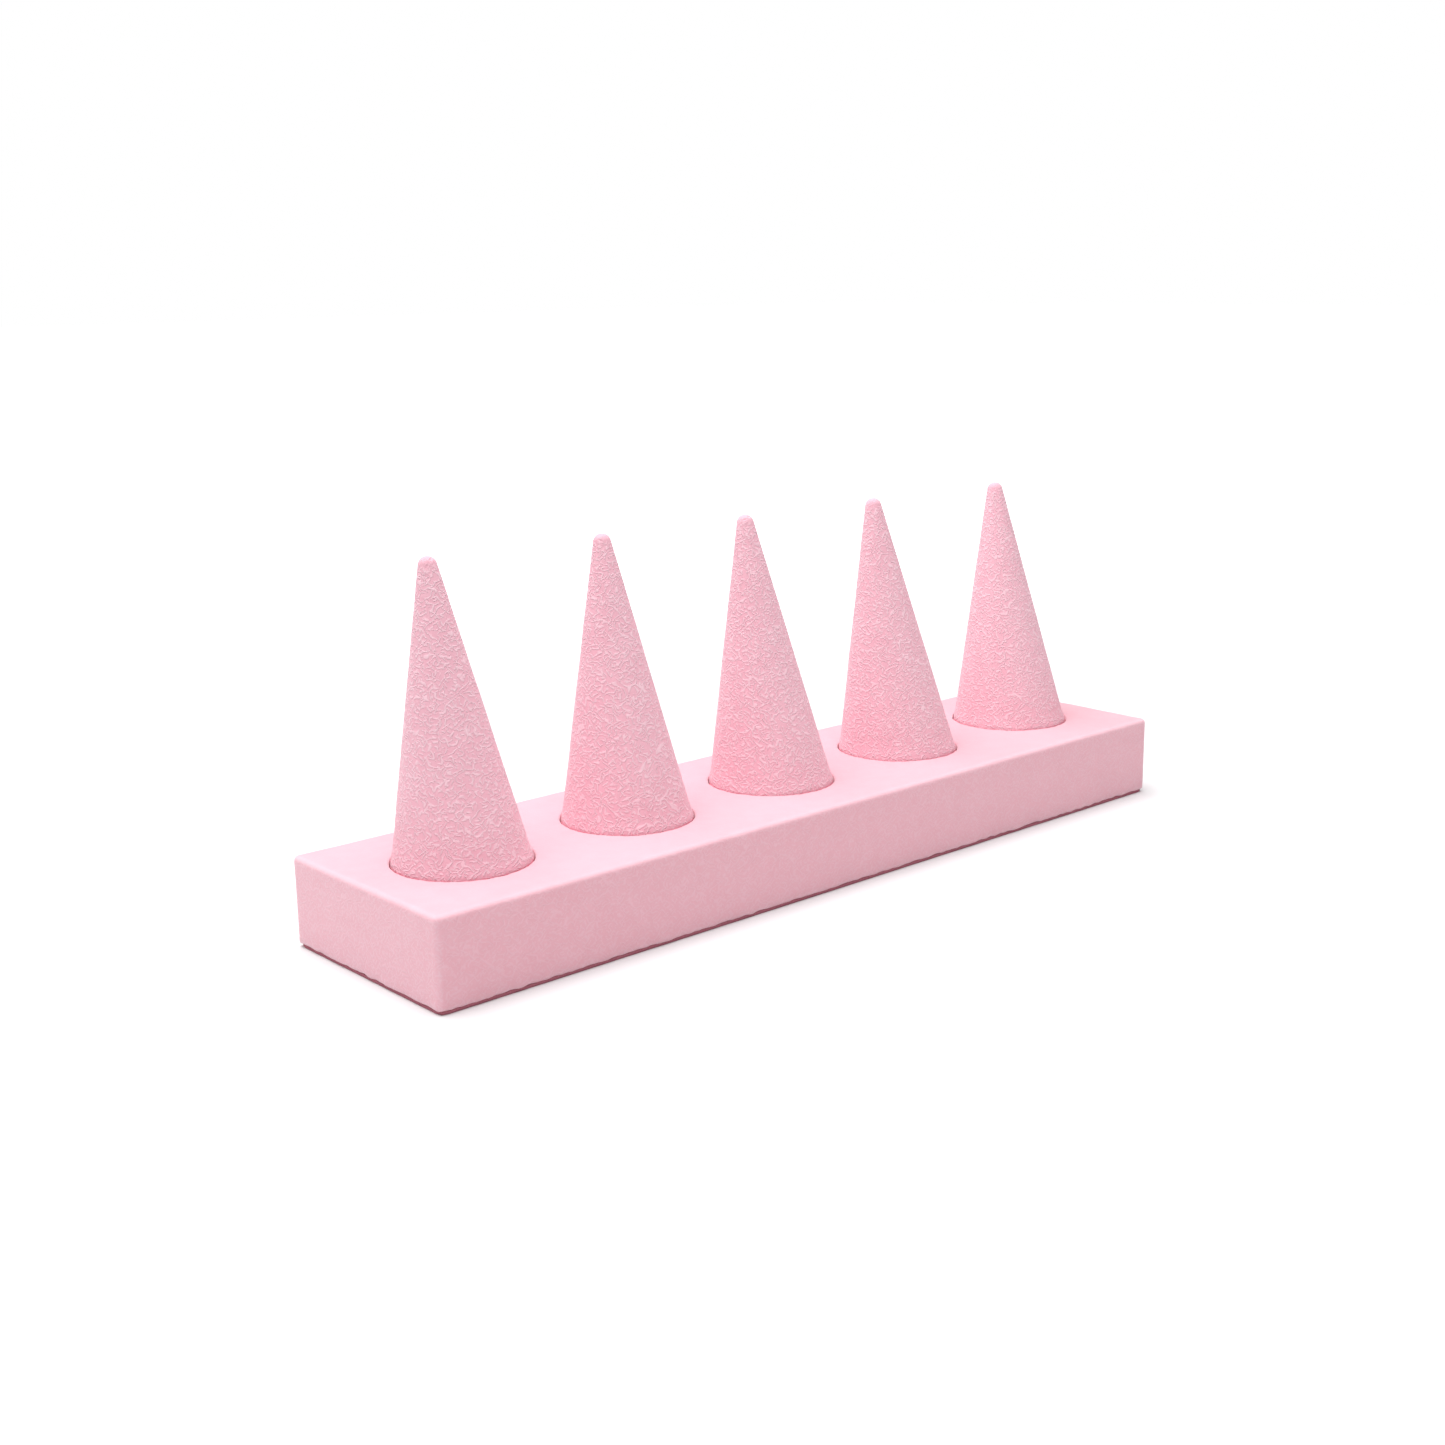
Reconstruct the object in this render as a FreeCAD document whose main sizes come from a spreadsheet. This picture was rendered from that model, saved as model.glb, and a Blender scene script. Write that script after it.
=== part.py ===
# Ring display stand: five leaning cones stand loose in the sockets of a cloth-covered block.
# The frame's origin is the centre of the footprint on the table. +X runs along the row of
# cones, -Y is the front and +Z is up. Sizes are in millimetres.
import FreeCAD, Part
import math
import os
import Sketcher

doc = FreeCAD.newDocument("RingDisplayStand")
vector = FreeCAD.Vector

# Driving dimensions: name, value and what it measures
DIMENSIONS = [
    ("block_length", 250.0, "length of the covered block, end to end"),
    ("block_depth", 60.0, "depth of the covered block, front to back"),
    ("deck_height", 22.3, "height of the covered top face above the table"),
    ("edge_radius", 1.3, "outer radius of the covered top and corner edges"),
    ("cloth", 0.7, "thickness of the suede cloth"),
    ("base_hem", 9.0, "width of the cloth turned in under the block"),
    ("felt_lap", 0.8, "thickness of the felt where it laps over the hem"),
    ("felt_inset", 0.5, "setback of the felt from the block's faces"),
    ("felt_corner", 1.4, "corner radius of the felt"),
    ("felt_clearance", 0.3, "gap between the felt's raised middle and the hem"),
    ("socket_count", 5, "number of sockets in the row"),
    ("end_margin", 27.2, "distance from each end of the block to the nearest socket's centre"),
    ("socket_radius", 16.8, "radius inside the socket's cloth lining"),
    ("socket_depth", 12.0, "depth of the socket below the covered top face"),
    ("socket_rim", 0.5, "radius of the cloth where it folds into the socket"),
    ("foot_clearance", 0.55, "gap all round between a cone's foot and its socket"),
    ("cone_height", 69.2, "height of a cone above the covered top face"),
    ("cone_tip_radius", 2.25, "radius of the rounded tip"),
    ("cone_lean", 8.85, "how far the tip's centre leans back from the foot's centre"),
    ("cone_hem", 6.0, "width of the cloth turned in under a cone's foot"),
]

# How far each loose cone is turned in its socket, in degrees, from left to right, and over again
CONE_TURNS = [-2.0, -9.0, 1.0, 7.0, -11.0]

# Two heights closer than this count as the same level
LEVEL_TOLERANCE = 0.01

# Sizes that follow from the driving dimensions
DERIVED = [
    ("core_bottom", "felt_lap + cloth", "underside of the block's core"),
    ("core_radius", "edge_radius - cloth", "radius of the core's top and corner edges"),
    ("socket_floor", "deck_height - socket_depth", "height of the socket's floor"),
    ("bore_radius", "socket_radius + cloth", "radius of the bore in the core, behind the lining"),
    ("first_socket", "end_margin - block_length / 2", "place of the leftmost socket"),
    ("row_span", "block_length - 2 * end_margin", "distance from the first socket to the last"),
    ("socket_pitch", "row_span / (socket_count - 1)", "distance between neighbouring sockets"),
    ("foot_radius", "socket_radius - foot_clearance", "radius of a covered cone's foot"),
    ("tip_rise", "cone_height - cone_tip_radius", "height of the tip's centre above the deck"),
    ("front_reach", "sqrt((foot_radius + cone_lean) ^ 2 + tip_rise ^ 2)",
     "distance from the foot's front edge to the tip's centre"),
    ("rear_reach", "sqrt((foot_radius - cone_lean) ^ 2 + tip_rise ^ 2)",
     "distance from the foot's rear edge to the tip's centre"),
    ("front_angle",
     "atan((foot_radius + cone_lean) / tip_rise) - asin(cone_tip_radius / front_reach)",
     "slant of the front of the cone's side"),
    ("rear_angle",
     "atan((foot_radius - cone_lean) / tip_rise) - asin(cone_tip_radius / rear_reach)",
     "slant of the rear of the cone's side"),
    ("side_angle", "(front_angle + rear_angle) / 2", "half of the cone's point angle"),
    ("lean_angle", "(front_angle - rear_angle) / 2", "lean of the cone's axis"),
    ("side_run", "tip_rise + socket_depth + foot_radius",
     "length of the leaning cone below the tip's centre, past the foot"),
]


def fill_sheet():
    """Put each size in its own named cell of the sheet."""
    page = doc.addObject("Spreadsheet::Sheet", "Sizes")
    rows = [(name, str(value), note) for name, value, note in DIMENSIONS]
    socket_count = int([content for name, content, _ in rows if name == "socket_count"][0])
    for number in range(1, socket_count + 1):
        turn = CONE_TURNS[(number - 1) % len(CONE_TURNS)]
        rows.append(("cone_turn_%d" % number, str(turn), "turn of cone %d in its socket" % number))
    rows += [(name, "=" + rule, note) for name, rule, note in DERIVED]
    for row, (name, content, note) in enumerate(rows, start=1):
        page.set("A%d" % row, note)
        page.set("B%d" % row, content)
        page.setAlias("B%d" % row, name)
    return page


sheet = fill_sheet()
doc.recompute()


def size(rule):
    """Write a rule about sizes as an expression on the sheet's cells."""
    names = [name for name, _, _ in DIMENSIONS + DERIVED]
    words = rule.replace("(", "( ").replace(")", " )").split()
    return " ".join("Sizes." + word if word in names else word for word in words)


def measure(rule):
    """Work out a rule's value as a plain number, in millimetres or degrees."""
    value = sheet.evalExpression(size(rule))
    return getattr(value, "Value", value)


def new_body(label):
    """Start a body with its own label."""
    body = doc.addObject("PartDesign::Body", label)
    body.Label = label
    return body


def new_sketch(body, name, role, offset="0"):
    """Start a sketch on one of the body's planes, moved off it by an offset."""
    plane = [part for part in body.Origin.OriginFeatures if part.Role == role][0]
    sketch = body.newObject("Sketcher::SketchObject", name)
    sketch.AttachmentSupport = [(plane, "")]
    sketch.MapMode = "FlatFace"
    sketch.setExpression("AttachmentOffset.Base.z", size(offset))
    return sketch


def bind(sketch, limits):
    """Add dimensions to a sketch, each with a name and a rule that it follows."""
    for name, (kind, *places), rule in limits:
        start = measure(rule)
        if kind == "Angle":
            start = math.radians(start)
        index = sketch.addConstraint(Sketcher.Constraint(kind, *places, start))
        sketch.renameConstraint(index, name)
        sketch.setExpression("Constraints." + name, size(rule))


def circle_sketch(body, name, level, radius, across):
    """Draw a level circle whose centre lies across from the body's origin."""
    sketch = new_sketch(body, name, "XY_Plane", level)
    centre = vector(measure(across), 0, 0)
    circle = sketch.addGeometry(Part.Circle(centre, vector(0, 0, 1), measure(radius)), False)
    sketch.addConstraint(Sketcher.Constraint("PointOnObject", circle, 3, -1))
    bind(sketch, [("radius", ("Radius", circle), radius),
                  ("across", ("DistanceX", -1, 1, circle, 3), across)])
    return sketch


def rectangle_sketch(body, name, level, length, depth):
    """Draw a level rectangle centred on the body's origin."""
    sketch = new_sketch(body, name, "XY_Plane", level)
    right = measure(length) / 2
    back = measure(depth) / 2
    corners = [vector(-right, -back, 0), vector(right, -back, 0),
               vector(right, back, 0), vector(-right, back, 0)]
    for start, end in zip(corners, corners[1:] + corners[:1]):
        sketch.addGeometry(Part.LineSegment(start, end), False)
    for side in range(4):
        after = (side + 1) % 4
        sketch.addConstraint(Sketcher.Constraint("Coincident", side, 2, after, 1))
        way = "Vertical" if side % 2 else "Horizontal"
        sketch.addConstraint(Sketcher.Constraint(way, side))
    sketch.addConstraint(Sketcher.Constraint("Symmetric", 0, 1, 1, 2, -1, 1))
    bind(sketch, [("length", ("DistanceX", 0, 1, 0, 2), length),
                  ("depth", ("DistanceY", 1, 1, 1, 2), depth)])
    return sketch


def pad(body, name, sketch, height):
    """Raise a sketch upwards by a height."""
    feature = body.newObject("PartDesign::Pad", name)
    feature.Profile = sketch
    feature.setExpression("Length", size(height))
    doc.recompute()
    return feature


def pocket(body, name, sketch, depth, upwards=False):
    """Cut a sketch downwards, or upwards, and make sure that it cut something."""
    before = body.Shape.Volume
    feature = body.newObject("PartDesign::Pocket", name)
    feature.Profile = sketch
    feature.Reversed = upwards
    feature.setExpression("Length", size(depth))
    doc.recompute()
    if body.Shape.Volume >= before:
        raise RuntimeError(name + " cuts nothing")
    return feature


def along_row(body, name, original, sketch):
    """Repeat a cut at each place in the row."""
    pattern = body.newObject("PartDesign::LinearPattern", name)
    pattern.Originals = [original]
    pattern.Direction = (sketch, ["H_Axis"])
    pattern.setExpression("Length", size("row_span"))
    pattern.setExpression("Occurrences", size("socket_count"))
    body.Tip = pattern
    doc.recompute()
    return pattern


def round_edges(body, name, feature, radius, chosen):
    """Round the edges of a feature that a test picks out."""
    edges = ["Edge%d" % number for number, edge in enumerate(feature.Shape.Edges, start=1)
             if chosen(edge)]
    fillet = body.newObject("PartDesign::Fillet", name)
    fillet.Base = (feature, edges)
    fillet.setExpression("Radius", size(radius))
    doc.recompute()
    return fillet


def rises(edge):
    """Tell whether an edge rises from one level to another."""
    return edge.BoundBox.ZLength > LEVEL_TOLERANCE


def lies_at(level):
    """Make a test for edges that lie flat at a height."""
    def test(edge):
        return not rises(edge) and abs(edge.BoundBox.ZMin - level) < LEVEL_TOLERANCE
    return test


def cut_away(label, outside, inside):
    """Leave the cloth that lies between an outer form and the core inside it."""
    cover = doc.addObject("Part::Cut", label)
    cover.Label = label
    cover.Base = outside
    cover.Tool = inside
    doc.recompute()
    return cover


# Block

def make_base_core():
    """Board with a row of blind sockets bored in its top."""
    body = new_body("base_core")
    outline = rectangle_sketch(body, "board_outline", "core_bottom",
                               "block_length - 2 * cloth", "block_depth - 2 * cloth")
    board = pad(body, "board", outline, "deck_height - cloth - core_bottom")
    corners = round_edges(body, "board_corners", board, "core_radius", rises)
    top_level = sheet.deck_height - sheet.cloth
    round_edges(body, "board_top_edge", corners, "core_radius", lies_at(top_level))
    mouth = circle_sketch(body, "bore_outline", "deck_height - cloth", "bore_radius",
                          "first_socket")
    bore = pocket(body, "bore", mouth, "socket_depth - cloth")
    along_row(body, "bores", bore, mouth)
    return body


def make_base_cover(core):
    """Cloth over the board: down into each socket and turned in under the edges."""
    body = new_body("base_cover_form")
    outline = rectangle_sketch(body, "cover_outline", "felt_lap", "block_length", "block_depth")
    block = pad(body, "covered_block", outline, "deck_height - felt_lap")
    corners = round_edges(body, "cover_corners", block, "edge_radius", rises)
    top = round_edges(body, "cover_top_edge", corners, "edge_radius", lies_at(sheet.deck_height))
    round_edges(body, "cover_bottom_edge", top, "cloth", lies_at(sheet.felt_lap))
    hem = rectangle_sketch(body, "hem_opening", "felt_lap",
                           "block_length - 2 * base_hem", "block_depth - 2 * base_hem")
    pocket(body, "inside_hem", hem, "cloth", upwards=True)
    mouth = circle_sketch(body, "socket_outline", "deck_height", "socket_radius",
                          "first_socket")
    socket = pocket(body, "socket", mouth, "socket_depth")
    sockets = along_row(body, "sockets", socket, mouth)

    def is_socket_rim(edge):
        return edge.isClosed() and lies_at(sheet.deck_height)(edge)

    round_edges(body, "socket_rims", sockets, "socket_rim", is_socket_rim)
    return cut_away("base_cover", body, core)


def make_base_pad():
    """Felt sheet under the block: thick inside the hem, pressed thin where it laps over it."""
    body = new_body("base_pad")
    outline = rectangle_sketch(body, "felt_outline", "0",
                               "block_length - 2 * felt_inset", "block_depth - 2 * felt_inset")
    felt = pad(body, "felt_sheet", outline, "felt_lap")
    round_edges(body, "felt_corners", felt, "felt_corner", rises)
    middle = rectangle_sketch(body, "felt_middle_outline", "felt_lap",
                              "block_length - 2 * base_hem - 2 * felt_clearance",
                              "block_depth - 2 * base_hem - 2 * felt_clearance")
    pad(body, "felt_middle", middle, "cloth")
    return body


# Cones

def draw_leaning_side(body, label, skin):
    """Draw half of a leaning cone: its axis, its rounded tip, its side and its flat end.

    The skin is how far the form lies inside the covered cone. The side runs on below the foot.
    """
    sketch = new_sketch(body, label + "_side_outline", "YZ_Plane")
    lean = math.radians(measure("lean_angle"))
    slant = math.radians(measure("side_angle"))
    upwards = vector(math.sin(lean), math.cos(lean), 0)
    forwards = vector(-math.cos(lean), math.sin(lean), 0)
    centre = vector(sheet.cone_lean, sheet.socket_depth + sheet.tip_rise, 0)
    end = centre - upwards * sheet.side_run
    end_radius = sheet.side_run * math.tan(slant) + sheet.cone_tip_radius / math.cos(slant)
    corner = end + forwards * end_radius
    start_angle = math.pi / 2 - lean
    round_tip = Part.ArcOfCircle(Part.Circle(centre, vector(0, 0, 1), sheet.cone_tip_radius),
                                 start_angle, start_angle + math.pi / 2 - slant)

    axis = sketch.addGeometry(Part.LineSegment(end, round_tip.StartPoint), False)
    tip = sketch.addGeometry(round_tip, False)
    side = sketch.addGeometry(Part.LineSegment(corner, round_tip.EndPoint), False)
    flat_end = sketch.addGeometry(Part.LineSegment(corner, end), False)
    sketch.addConstraint(Sketcher.Constraint("Coincident", axis, 2, tip, 1))
    sketch.addConstraint(Sketcher.Constraint("Tangent", tip, 2, side, 2))
    sketch.addConstraint(Sketcher.Constraint("Coincident", side, 1, flat_end, 1))
    sketch.addConstraint(Sketcher.Constraint("Coincident", flat_end, 2, axis, 1))
    sketch.addConstraint(Sketcher.Constraint("PointOnObject", tip, 3, axis))
    sketch.addConstraint(Sketcher.Constraint("Perpendicular", axis, flat_end))

    limits = [("centre_back", ("DistanceX", -1, 1, tip, 3), "cone_lean"),
              ("centre_up", ("DistanceY", -1, 1, tip, 3), "socket_depth + tip_rise"),
              ("tip_radius", ("Radius", tip), "cone_tip_radius - " + skin),
              ("axis_angle", ("Angle", axis), "90 deg - lean_angle"),
              ("side_angle", ("Angle", side), "90 deg - lean_angle - side_angle"),
              ("side_run", ("Distance", axis, 1, tip, 3), "side_run")]
    bind(sketch, limits)
    return sketch


def make_cone_form(label, number, underside, skin):
    """Leaning cone, trimmed to a round upright foot where it goes down into its socket."""
    body = new_body(label + "_leaning")
    outline = draw_leaning_side(body, label, skin)
    turned = body.newObject("PartDesign::Revolution", label + "_turned")
    turned.Profile = outline
    turned.ReferenceAxis = (outline, ["Edge1"])
    turned.Angle = 360
    place_at_socket(body, number)
    body.setExpression("Placement.Rotation.Angle", "Sizes.cone_turn_%d" % number)

    foot = doc.addObject("Part::Cylinder", label + "_foot")
    foot.setExpression("Radius", size("foot_radius - " + skin))
    foot.setExpression("Height", size("socket_depth + cone_height"))
    place_at_socket(foot, number, underside)

    form = doc.addObject("Part::Common", label)
    form.Label = label
    form.Base = body
    form.Tool = foot
    doc.recompute()
    return form


def place_at_socket(item, number, rise="0"):
    """Stand an object on a socket's floor, or a rise above it."""
    item.Placement = FreeCAD.Placement(vector(0, 0, 0), FreeCAD.Rotation(vector(0, 0, 1), 1))
    item.setExpression("Placement.Base.x", size("first_socket + %d * socket_pitch" % (number - 1)))
    item.setExpression("Placement.Base.z", size("socket_floor + " + rise))


def make_cone(number):
    """One cone: its solid core and the cloth around it, turned in under the foot."""
    core = make_cone_form("cone_core_%d" % number, number, "cloth", "cloth")
    form = make_cone_form("cone_cover_form_%d" % number, number, "0", "0")
    opening = doc.addObject("Part::Cylinder", "cone_hem_opening_%d" % number)
    opening.setExpression("Radius", size("foot_radius - cone_hem"))
    opening.setExpression("Height", size("cloth"))
    place_at_socket(opening, number)
    hemmed = cut_away("cone_cover_hemmed_%d" % number, form, opening)
    return [core, cut_away("cone_cover_%d" % number, hemmed, core)]


base_core = make_base_core()
sub_parts = [base_core, make_base_cover(base_core), make_base_pad()]
for cone_number in range(1, sheet.socket_count + 1):
    sub_parts += make_cone(cone_number)
doc.recompute()

# Every object has to be sound before anything is written
for item in doc.Objects:
    if "Invalid" in item.State or "Error" in item.State:
        raise RuntimeError(item.Name + " failed")
for item in sub_parts:
    if item.Shape.isNull() or not item.Shape.isValid() or len(item.Shape.Solids) != 1:
        raise RuntimeError(item.Label + " is not one valid solid")

os.makedirs("parts", exist_ok=True)
for item in sub_parts:
    item.Shape.exportStep("parts/%s.step" % item.Label)
    print("%-14s %10.1f mm3" % (item.Label, item.Shape.Volume))
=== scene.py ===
"""Ring display stand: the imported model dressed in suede, felt, board and wood, on a pale stage."""
import math

import bmesh
import bpy
from bpy.props import FloatProperty, FloatVectorProperty, PointerProperty
from mathutils import Matrix, Vector, noise


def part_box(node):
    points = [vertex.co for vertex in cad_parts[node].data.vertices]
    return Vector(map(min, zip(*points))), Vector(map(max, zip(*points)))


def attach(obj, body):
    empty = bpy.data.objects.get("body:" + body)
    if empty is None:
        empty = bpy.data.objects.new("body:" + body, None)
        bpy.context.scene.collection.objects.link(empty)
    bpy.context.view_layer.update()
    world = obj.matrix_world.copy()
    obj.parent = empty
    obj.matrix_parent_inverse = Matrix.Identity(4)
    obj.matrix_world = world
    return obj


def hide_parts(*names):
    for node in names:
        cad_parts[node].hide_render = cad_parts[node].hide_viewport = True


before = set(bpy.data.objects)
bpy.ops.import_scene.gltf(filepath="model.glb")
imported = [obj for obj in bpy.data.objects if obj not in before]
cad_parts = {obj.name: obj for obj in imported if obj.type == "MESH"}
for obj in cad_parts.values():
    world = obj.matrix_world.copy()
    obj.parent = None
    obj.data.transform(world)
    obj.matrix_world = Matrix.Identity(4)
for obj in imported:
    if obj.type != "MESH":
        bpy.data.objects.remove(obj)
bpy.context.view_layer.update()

bl_info = {
    "name": "Ring Display Stand",
    "version": (1, 0, 0),
    "blender": (4, 5, 0),
    "location": "3D Viewport > Sidebar > Ring Stand",
    "description": "Dresses the packed ring display stand in suede, felt, board and wood",
    "category": "Object",
}

MM = 0.001
BLOCK_LOW, BLOCK_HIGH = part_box("base_cover")
CONE_NAMES = sorted(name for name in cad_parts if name.startswith("cone_cover_"))
CONE_BOXES = [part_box(name) for name in CONE_NAMES]
CONE_PLACES = [(low.x + high.x) / 2 for low, high in CONE_BOXES]
SOCKET_PITCH = CONE_PLACES[1] - CONE_PLACES[0]
SOCKET_FLOOR = CONE_BOXES[0][0].z
CONE_TOP = CONE_BOXES[0][1].z
FOOT_RADIUS = (CONE_BOXES[0][1].x - CONE_BOXES[0][0].x) / 2

# The photographer's camera: its lens and sensor in millimetres and its place in metres
LENS = 46.142
SENSOR = 36.0
CAMERA_PLACE = (-0.32412, -0.34344, 0.15281)
CAMERA_TURN = math.radians(-41.81)
CAMERA_PITCH = math.radians(13.70)
CAMERA_ROLL = math.radians(-0.80)

# How far each loose cone is turned in its socket, in degrees, from left to right
CONE_TURNS = (-2.0, -9.0, 1.0, 7.0, -11.0)


class StandSizes(bpy.types.PropertyGroup):
    """Sizes of the stand that the frame's boxes don't give."""
    socket_radius: FloatProperty(
        name="Socket radius", description="Radius inside a socket's cloth lining",
        default=16.8 * MM, unit="LENGTH", precision=4)
    socket_rim: FloatProperty(
        name="Socket rim", description="Radius of the cloth where it folds into a socket",
        default=0.5 * MM, unit="LENGTH", precision=4)
    edge_radius: FloatProperty(
        name="Edge radius", description="Radius of the block's covered edges",
        default=1.3 * MM, unit="LENGTH", precision=4)
    fold_radius: FloatProperty(
        name="Fold radius", description="Radius of the cloth where it turns in underneath",
        default=0.7 * MM, unit="LENGTH", precision=4)
    cloth: FloatProperty(
        name="Cloth", description="Thickness of the suede cloth as it is shown",
        default=0.45 * MM, unit="LENGTH", precision=4)
    base_hem: FloatProperty(
        name="Base hem", description="Width of the cloth turned in under the block",
        default=9.0 * MM, unit="LENGTH", precision=4)
    cone_hem: FloatProperty(
        name="Cone hem", description="Width of the cloth turned in under a cone",
        default=6.0 * MM, unit="LENGTH", precision=4)
    tip_radius: FloatProperty(
        name="Tip radius", description="Radius of a cone's rounded tip",
        default=2.25 * MM, unit="LENGTH", precision=4)
    cone_lean: FloatProperty(
        name="Cone lean", description="How far a tip leans back from the foot's centre",
        default=8.85 * MM, unit="LENGTH", precision=4)
    felt_corner: FloatProperty(
        name="Felt corner", description="Corner radius of the felt under the block",
        default=1.4 * MM, unit="LENGTH", precision=4)
    felt_clearance: FloatProperty(
        name="Felt clearance", description="Gap between the felt's raised middle and the hem",
        default=0.3 * MM, unit="LENGTH", precision=4)


class StandColours(bpy.types.PropertyGroup):
    """Colours of the stand's finishes."""
    base_suede: FloatVectorProperty(
        name="Block suede", description="Suede over the block",
        default=(0.85, 0.44, 0.51), min=0, max=1, subtype="COLOR")
    # Its paler colour also lies along the block's edges: wear, and a painted highlight
    base_curls: FloatVectorProperty(
        name="Block curls", description="Paler raised curls of the block's suede, and its edges, paler from wear and a painted highlight",
        default=(0.90, 0.58, 0.65), min=0, max=1, subtype="COLOR")
    cone_suede: FloatVectorProperty(
        name="Cone suede", description="Suede over the cones",
        default=(0.848, 0.445, 0.53), min=0, max=1, subtype="COLOR")
    cone_curls: FloatVectorProperty(
        name="Cone curls", description="Paler raised curls of the cones' suede",
        default=(0.92, 0.645, 0.71), min=0, max=1, subtype="COLOR")
    # Deeper pink down in the sockets: a painted glow of light bounced between the pink cloths
    painted_socket_glow: FloatVectorProperty(
        name="Painted socket glow", description="Deeper pink painted down in a socket for light bounced between the cloths",
        default=(0.97, 0.33, 0.44), min=0, max=1, subtype="COLOR")
    felt: FloatVectorProperty(
        name="Felt", description="Felt under the block",
        default=(0.55, 0.19, 0.24), min=0, max=1, subtype="COLOR")
    board: FloatVectorProperty(
        name="Board", description="Fibre board inside the block",
        default=(0.42, 0.29, 0.18), min=0, max=1, subtype="COLOR")
    wood: FloatVectorProperty(
        name="Wood", description="Turned wood inside the cones",
        default=(0.60, 0.42, 0.25), min=0, max=1, subtype="COLOR")
    floor: FloatVectorProperty(
        name="Floor", description="Pale floor that the stand is on",
        default=(0.75, 0.745, 0.75), min=0, max=1, subtype="COLOR")


# Materials

def new_material(name):
    """Start a material with its principled shader and the piece's own coordinates."""
    material = bpy.data.materials.new(name)
    material.use_nodes = True
    nodes = material.node_tree.nodes
    shader = nodes["Principled BSDF"]
    place = nodes.new("ShaderNodeTexCoord").outputs["Object"]
    return material, shader, place


def add_node(material, kind, settings=(), values=(), links=()):
    """Add a node, give it its settings and values, and link its inputs."""
    node = material.node_tree.nodes.new(kind)
    for name, setting in dict(settings).items():
        setattr(node, name, setting)
    for name, value in dict(values).items():
        node.inputs[name].default_value = value
    for name, source in dict(links).items():
        material.node_tree.links.new(source, node.inputs[name])
    return node


def moved(material, place, offset=(0, 0, 0), turn=(0, 0, 0), stretch=(1, 1, 1)):
    """Move, turn and stretch the coordinates that a pattern reads."""
    node = add_node(material, "ShaderNodeMapping",
                    values={"Location": offset, "Rotation": turn, "Scale": stretch},
                    links={"Vector": place})
    return node.outputs["Vector"]


def speckle(material, place, scale, detail=2.0, distortion=0.0):
    """Soft random pattern from 0 to 1; the scale is in grains per metre."""
    node = add_node(material, "ShaderNodeTexNoise",
                    values={"Scale": scale, "Detail": detail, "Distortion": distortion},
                    links={"Vector": place})
    return node.outputs["Fac"]


def calculate(material, operation, *parts, clamp=False):
    """Do a sum on plain numbers or on other nodes' results."""
    node = add_node(material, "ShaderNodeMath", {"operation": operation, "use_clamp": clamp})
    for socket, part in zip(node.inputs, parts):
        if isinstance(part, (int, float)):
            socket.default_value = part
        else:
            material.node_tree.links.new(part, socket)
    return node.outputs[0]


def remap(material, source, low, high, start=0.0, end=1.0):
    """Turn the range from low to high softly into the range from start to end."""
    node = add_node(material, "ShaderNodeMapRange", {"interpolation_type": "SMOOTHSTEP"},
                    {"From Min": low, "From Max": high, "To Min": start, "To Max": end},
                    {"Value": source})
    return node.outputs["Result"]


def mix_colours(material, share, first, second):
    """Mix two colours, plain or from other nodes, by a share from 0 to 1."""
    node = add_node(material, "ShaderNodeMix", {"data_type": "RGBA"})
    before, after = [socket for socket in node.inputs if socket.type == "RGBA"]
    for socket, colour in ((before, first), (after, second)):
        if isinstance(colour, bpy.types.NodeSocket):
            material.node_tree.links.new(colour, socket)
        else:
            socket.default_value = (*colour, 1)
    material.node_tree.links.new(share, node.inputs[0])
    return [socket for socket in node.outputs if socket.type == "RGBA"][0]


# A band pattern's spacing, for a scale of 1
BAND_TURN = 2 * math.pi / 20
# Raised curls: the spacing and slope of their folds, how much and how finely the folds bend,
# and how often they break off
CURL_SPACING = 1.0 * MM
CURL_SLOPE = math.radians(29)
CURL_BEND = 6.5
CURL_BEND_SCALE = 1.8
CURL_BREAKS = 0.9 / CURL_SPACING
# How far from the block's edges its suede is paler, worn and with a painted highlight
EDGE_WEAR_AND_HIGHLIGHT_REACH = 1.7 * MM
# How far down in a socket the suede has its full deeper pink, a painted glow of bounced light,
# and how high above the block's top that painted glow starts on the block and on a cone
SOCKET_GLOW_REACH = 0.7 * MM
BLOCK_SOCKET_GLOW_START = -0.05 * MM
CONE_SOCKET_GLOW_START = 0.4 * MM
# The block's sides get no painted socket glow: the sockets lie farther in than this
SOCKETS_FROM = 5 * MM
SOCKETS_SURE = 8 * MM
# Depths below the block's top and below a cone's top between which the curls grow to their full
# height
TOP_SMOOTH = 0.2 * MM
TOP_CURLED = 1.5 * MM
TIP_SMOOTH = 1.0 * MM
TIP_CURLED = 3.5 * MM
# Grains per metre of the nap and the mottling, their shares of the paler colour, and the nap's
# height against a curl's
NAP_SCALE = 4200
NAP_SHARE = 0.12
NAP_HEIGHT = 0.25
MOTTLE_SCALE = 260
MOTTLE_SHARE = 0.15
# What is left of the curls on the block's worn top and on a cone's tip
WORN_TOP = 0.15
WORN_TIP = 0.2


def shade(colour, factor):
    """Lighten or darken a colour."""
    return tuple(min(1.0, part * factor) for part in colour)


def curls(material, place, slope, offset):
    """Short thin raised curls: sloping folds, bent and broken up by soft noise."""
    there = moved(material, place, offset, (slope, slope, 0))
    bands = add_node(material, "ShaderNodeTexWave",
                     {"wave_type": "BANDS", "bands_direction": "Z", "wave_profile": "SIN"},
                     {"Scale": BAND_TURN / CURL_SPACING, "Distortion": CURL_BEND, "Detail": 0.0,
                      "Detail Scale": CURL_BEND_SCALE}, {"Vector": there})
    ridge = remap(material, bands.outputs["Fac"], 0.45, 1.0)
    kept = remap(material, speckle(material, there, CURL_BREAKS, 1.0), 0.42, 0.54)
    return calculate(material, "MULTIPLY", ridge, kept)


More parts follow.
